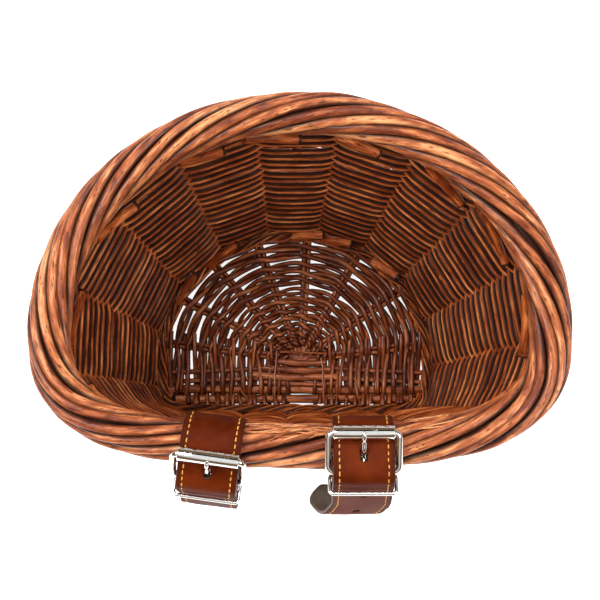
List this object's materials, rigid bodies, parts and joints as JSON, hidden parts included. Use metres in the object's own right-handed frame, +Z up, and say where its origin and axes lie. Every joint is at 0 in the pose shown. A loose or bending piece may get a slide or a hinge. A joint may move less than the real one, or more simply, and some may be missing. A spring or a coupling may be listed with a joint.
{
  "type": "handlebar basket",
  "caption": "D-shaped woven willow basket with a twisted rope border, a flat back, and buckled leather straps that hang it from a handlebar.",
  "frame": {"origin": "middle of the bottom of the whole object's bounding box, straps included, on the surface that the basket stands on", "axes": "+X to the rider's right along the flat back, +Y forward and away from the rider, +Z up"},
  "size_m": [0.2472, 0.1952, 0.1716],
  "materials": {
    "willow_border": "satin, varnished",
    "willow_wall": "satin, varnished",
    "willow_base": "satin, varnished",
    "leather": "satin",
    "nickel": "polished"
  },
  "bodies": {
    "basket": {"base_back_stick_1": "willow_base", "base_back_stick_2": "willow_base", "base_centre_stick_1": "willow_base", "base_centre_stick_2": "willow_base", "base_centre_stick_3": "willow_base", "base_spoke_1": "willow_base", "base_spoke_2": "willow_base", "base_spoke_3": "willow_base", "base_spoke_4": "willow_base", "base_spoke_5": "willow_base", "base_spoke_6": "willow_base", "base_spoke_7": "willow_base", "base_spoke_8": "willow_base", "base_weave_1": "willow_base", "base_weave_2": "willow_base", "base_weave_3": "willow_base", "base_weave_4": "willow_base", "border_strand_01": "willow_border", "border_strand_02": "willow_border", "border_strand_03": "willow_border", "border_strand_04": "willow_border", "border_strand_05": "willow_border", "border_strand_06": "willow_border", "border_strand_07": "willow_border", "border_strand_08": "willow_border", "border_strand_09": "willow_border", "border_strand_10": "willow_border", "stake_01": "willow_wall", "stake_02": "willow_wall", "stake_03": "willow_wall", "stake_04": "willow_wall", "stake_05": "willow_wall", "stake_06": "willow_wall", "stake_07": "willow_wall", "stake_08": "willow_wall", "stake_09": "willow_wall", "stake_10": "willow_wall", "stake_11": "willow_wall", "stake_12": "willow_wall", "stake_13": "willow_wall", "stake_14": "willow_wall", "stake_15": "willow_wall", "stake_16": "willow_wall", "wall_weave_1": "willow_wall", "wall_weave_2": "willow_wall", "wall_weave_3": "willow_wall", "wall_weave_4": "willow_wall", "wall_weave_5": "willow_wall", "wall_weave_6": "willow_wall"},
    "left_strap": {"left_strap": "leather", "left_buckle_frame": "nickel"},
    "left_roller": {"left_roller": "nickel"},
    "left_prong": {"left_prong": "nickel"},
    "left_keeper": {"left_keeper": "nickel"},
    "right_strap": {"right_strap": "leather", "right_buckle_frame": "nickel"},
    "right_roller": {"right_roller": "nickel"},
    "right_prong": {"right_prong": "nickel"},
    "right_keeper": {"right_keeper": "nickel"}
  },
  "joints": [
    {"name": "left_strap_swing", "type": "hinge", "parent": "basket", "child": "left_strap", "pos_m": [-0.0391, -0.06518, 0.15], "axis": [-0.9903, 0.1392, 0], "range_deg": [0, 60]},
    {"name": "left_roller_spin", "type": "hinge", "parent": "left_strap", "child": "left_roller", "pos_m": [-0.03991, -0.07095, 0.16602], "axis": [0.9903, -0.1392, 0], "continuous": true},
    {"name": "left_prong_swing", "type": "hinge", "parent": "left_strap", "child": "left_prong", "pos_m": [-0.04121, -0.08022, 0.15053], "axis": [0.9903, -0.1392, 0], "range_deg": [0, 10]},
    {"name": "left_keeper_tilt", "type": "hinge", "parent": "left_strap", "child": "left_keeper", "pos_m": [-0.04132, -0.08098, 0.1443], "axis": [0.9903, -0.1392, 0], "range_deg": [-9, 9]},
    {"name": "right_strap_swing", "type": "hinge", "parent": "basket", "child": "right_strap", "pos_m": [0.0279, -0.0658, 0.15], "axis": [-1, 0, 0], "range_deg": [0, 60]},
    {"name": "right_roller_spin", "type": "hinge", "parent": "right_strap", "child": "right_roller", "pos_m": [0.0279, -0.06011, 0.16607], "axis": [1, 0, 0], "continuous": true},
    {"name": "right_prong_swing", "type": "hinge", "parent": "right_strap", "child": "right_prong", "pos_m": [0.0279, -0.07719, 0.16007], "axis": [1, 0, 0], "range_deg": [0, 10]},
    {"name": "right_keeper_tilt", "type": "hinge", "parent": "right_strap", "child": "right_keeper", "pos_m": [0.0279, -0.07863, 0.15397], "axis": [1, 0, 0], "range_deg": [-9, 9]}
  ]
}
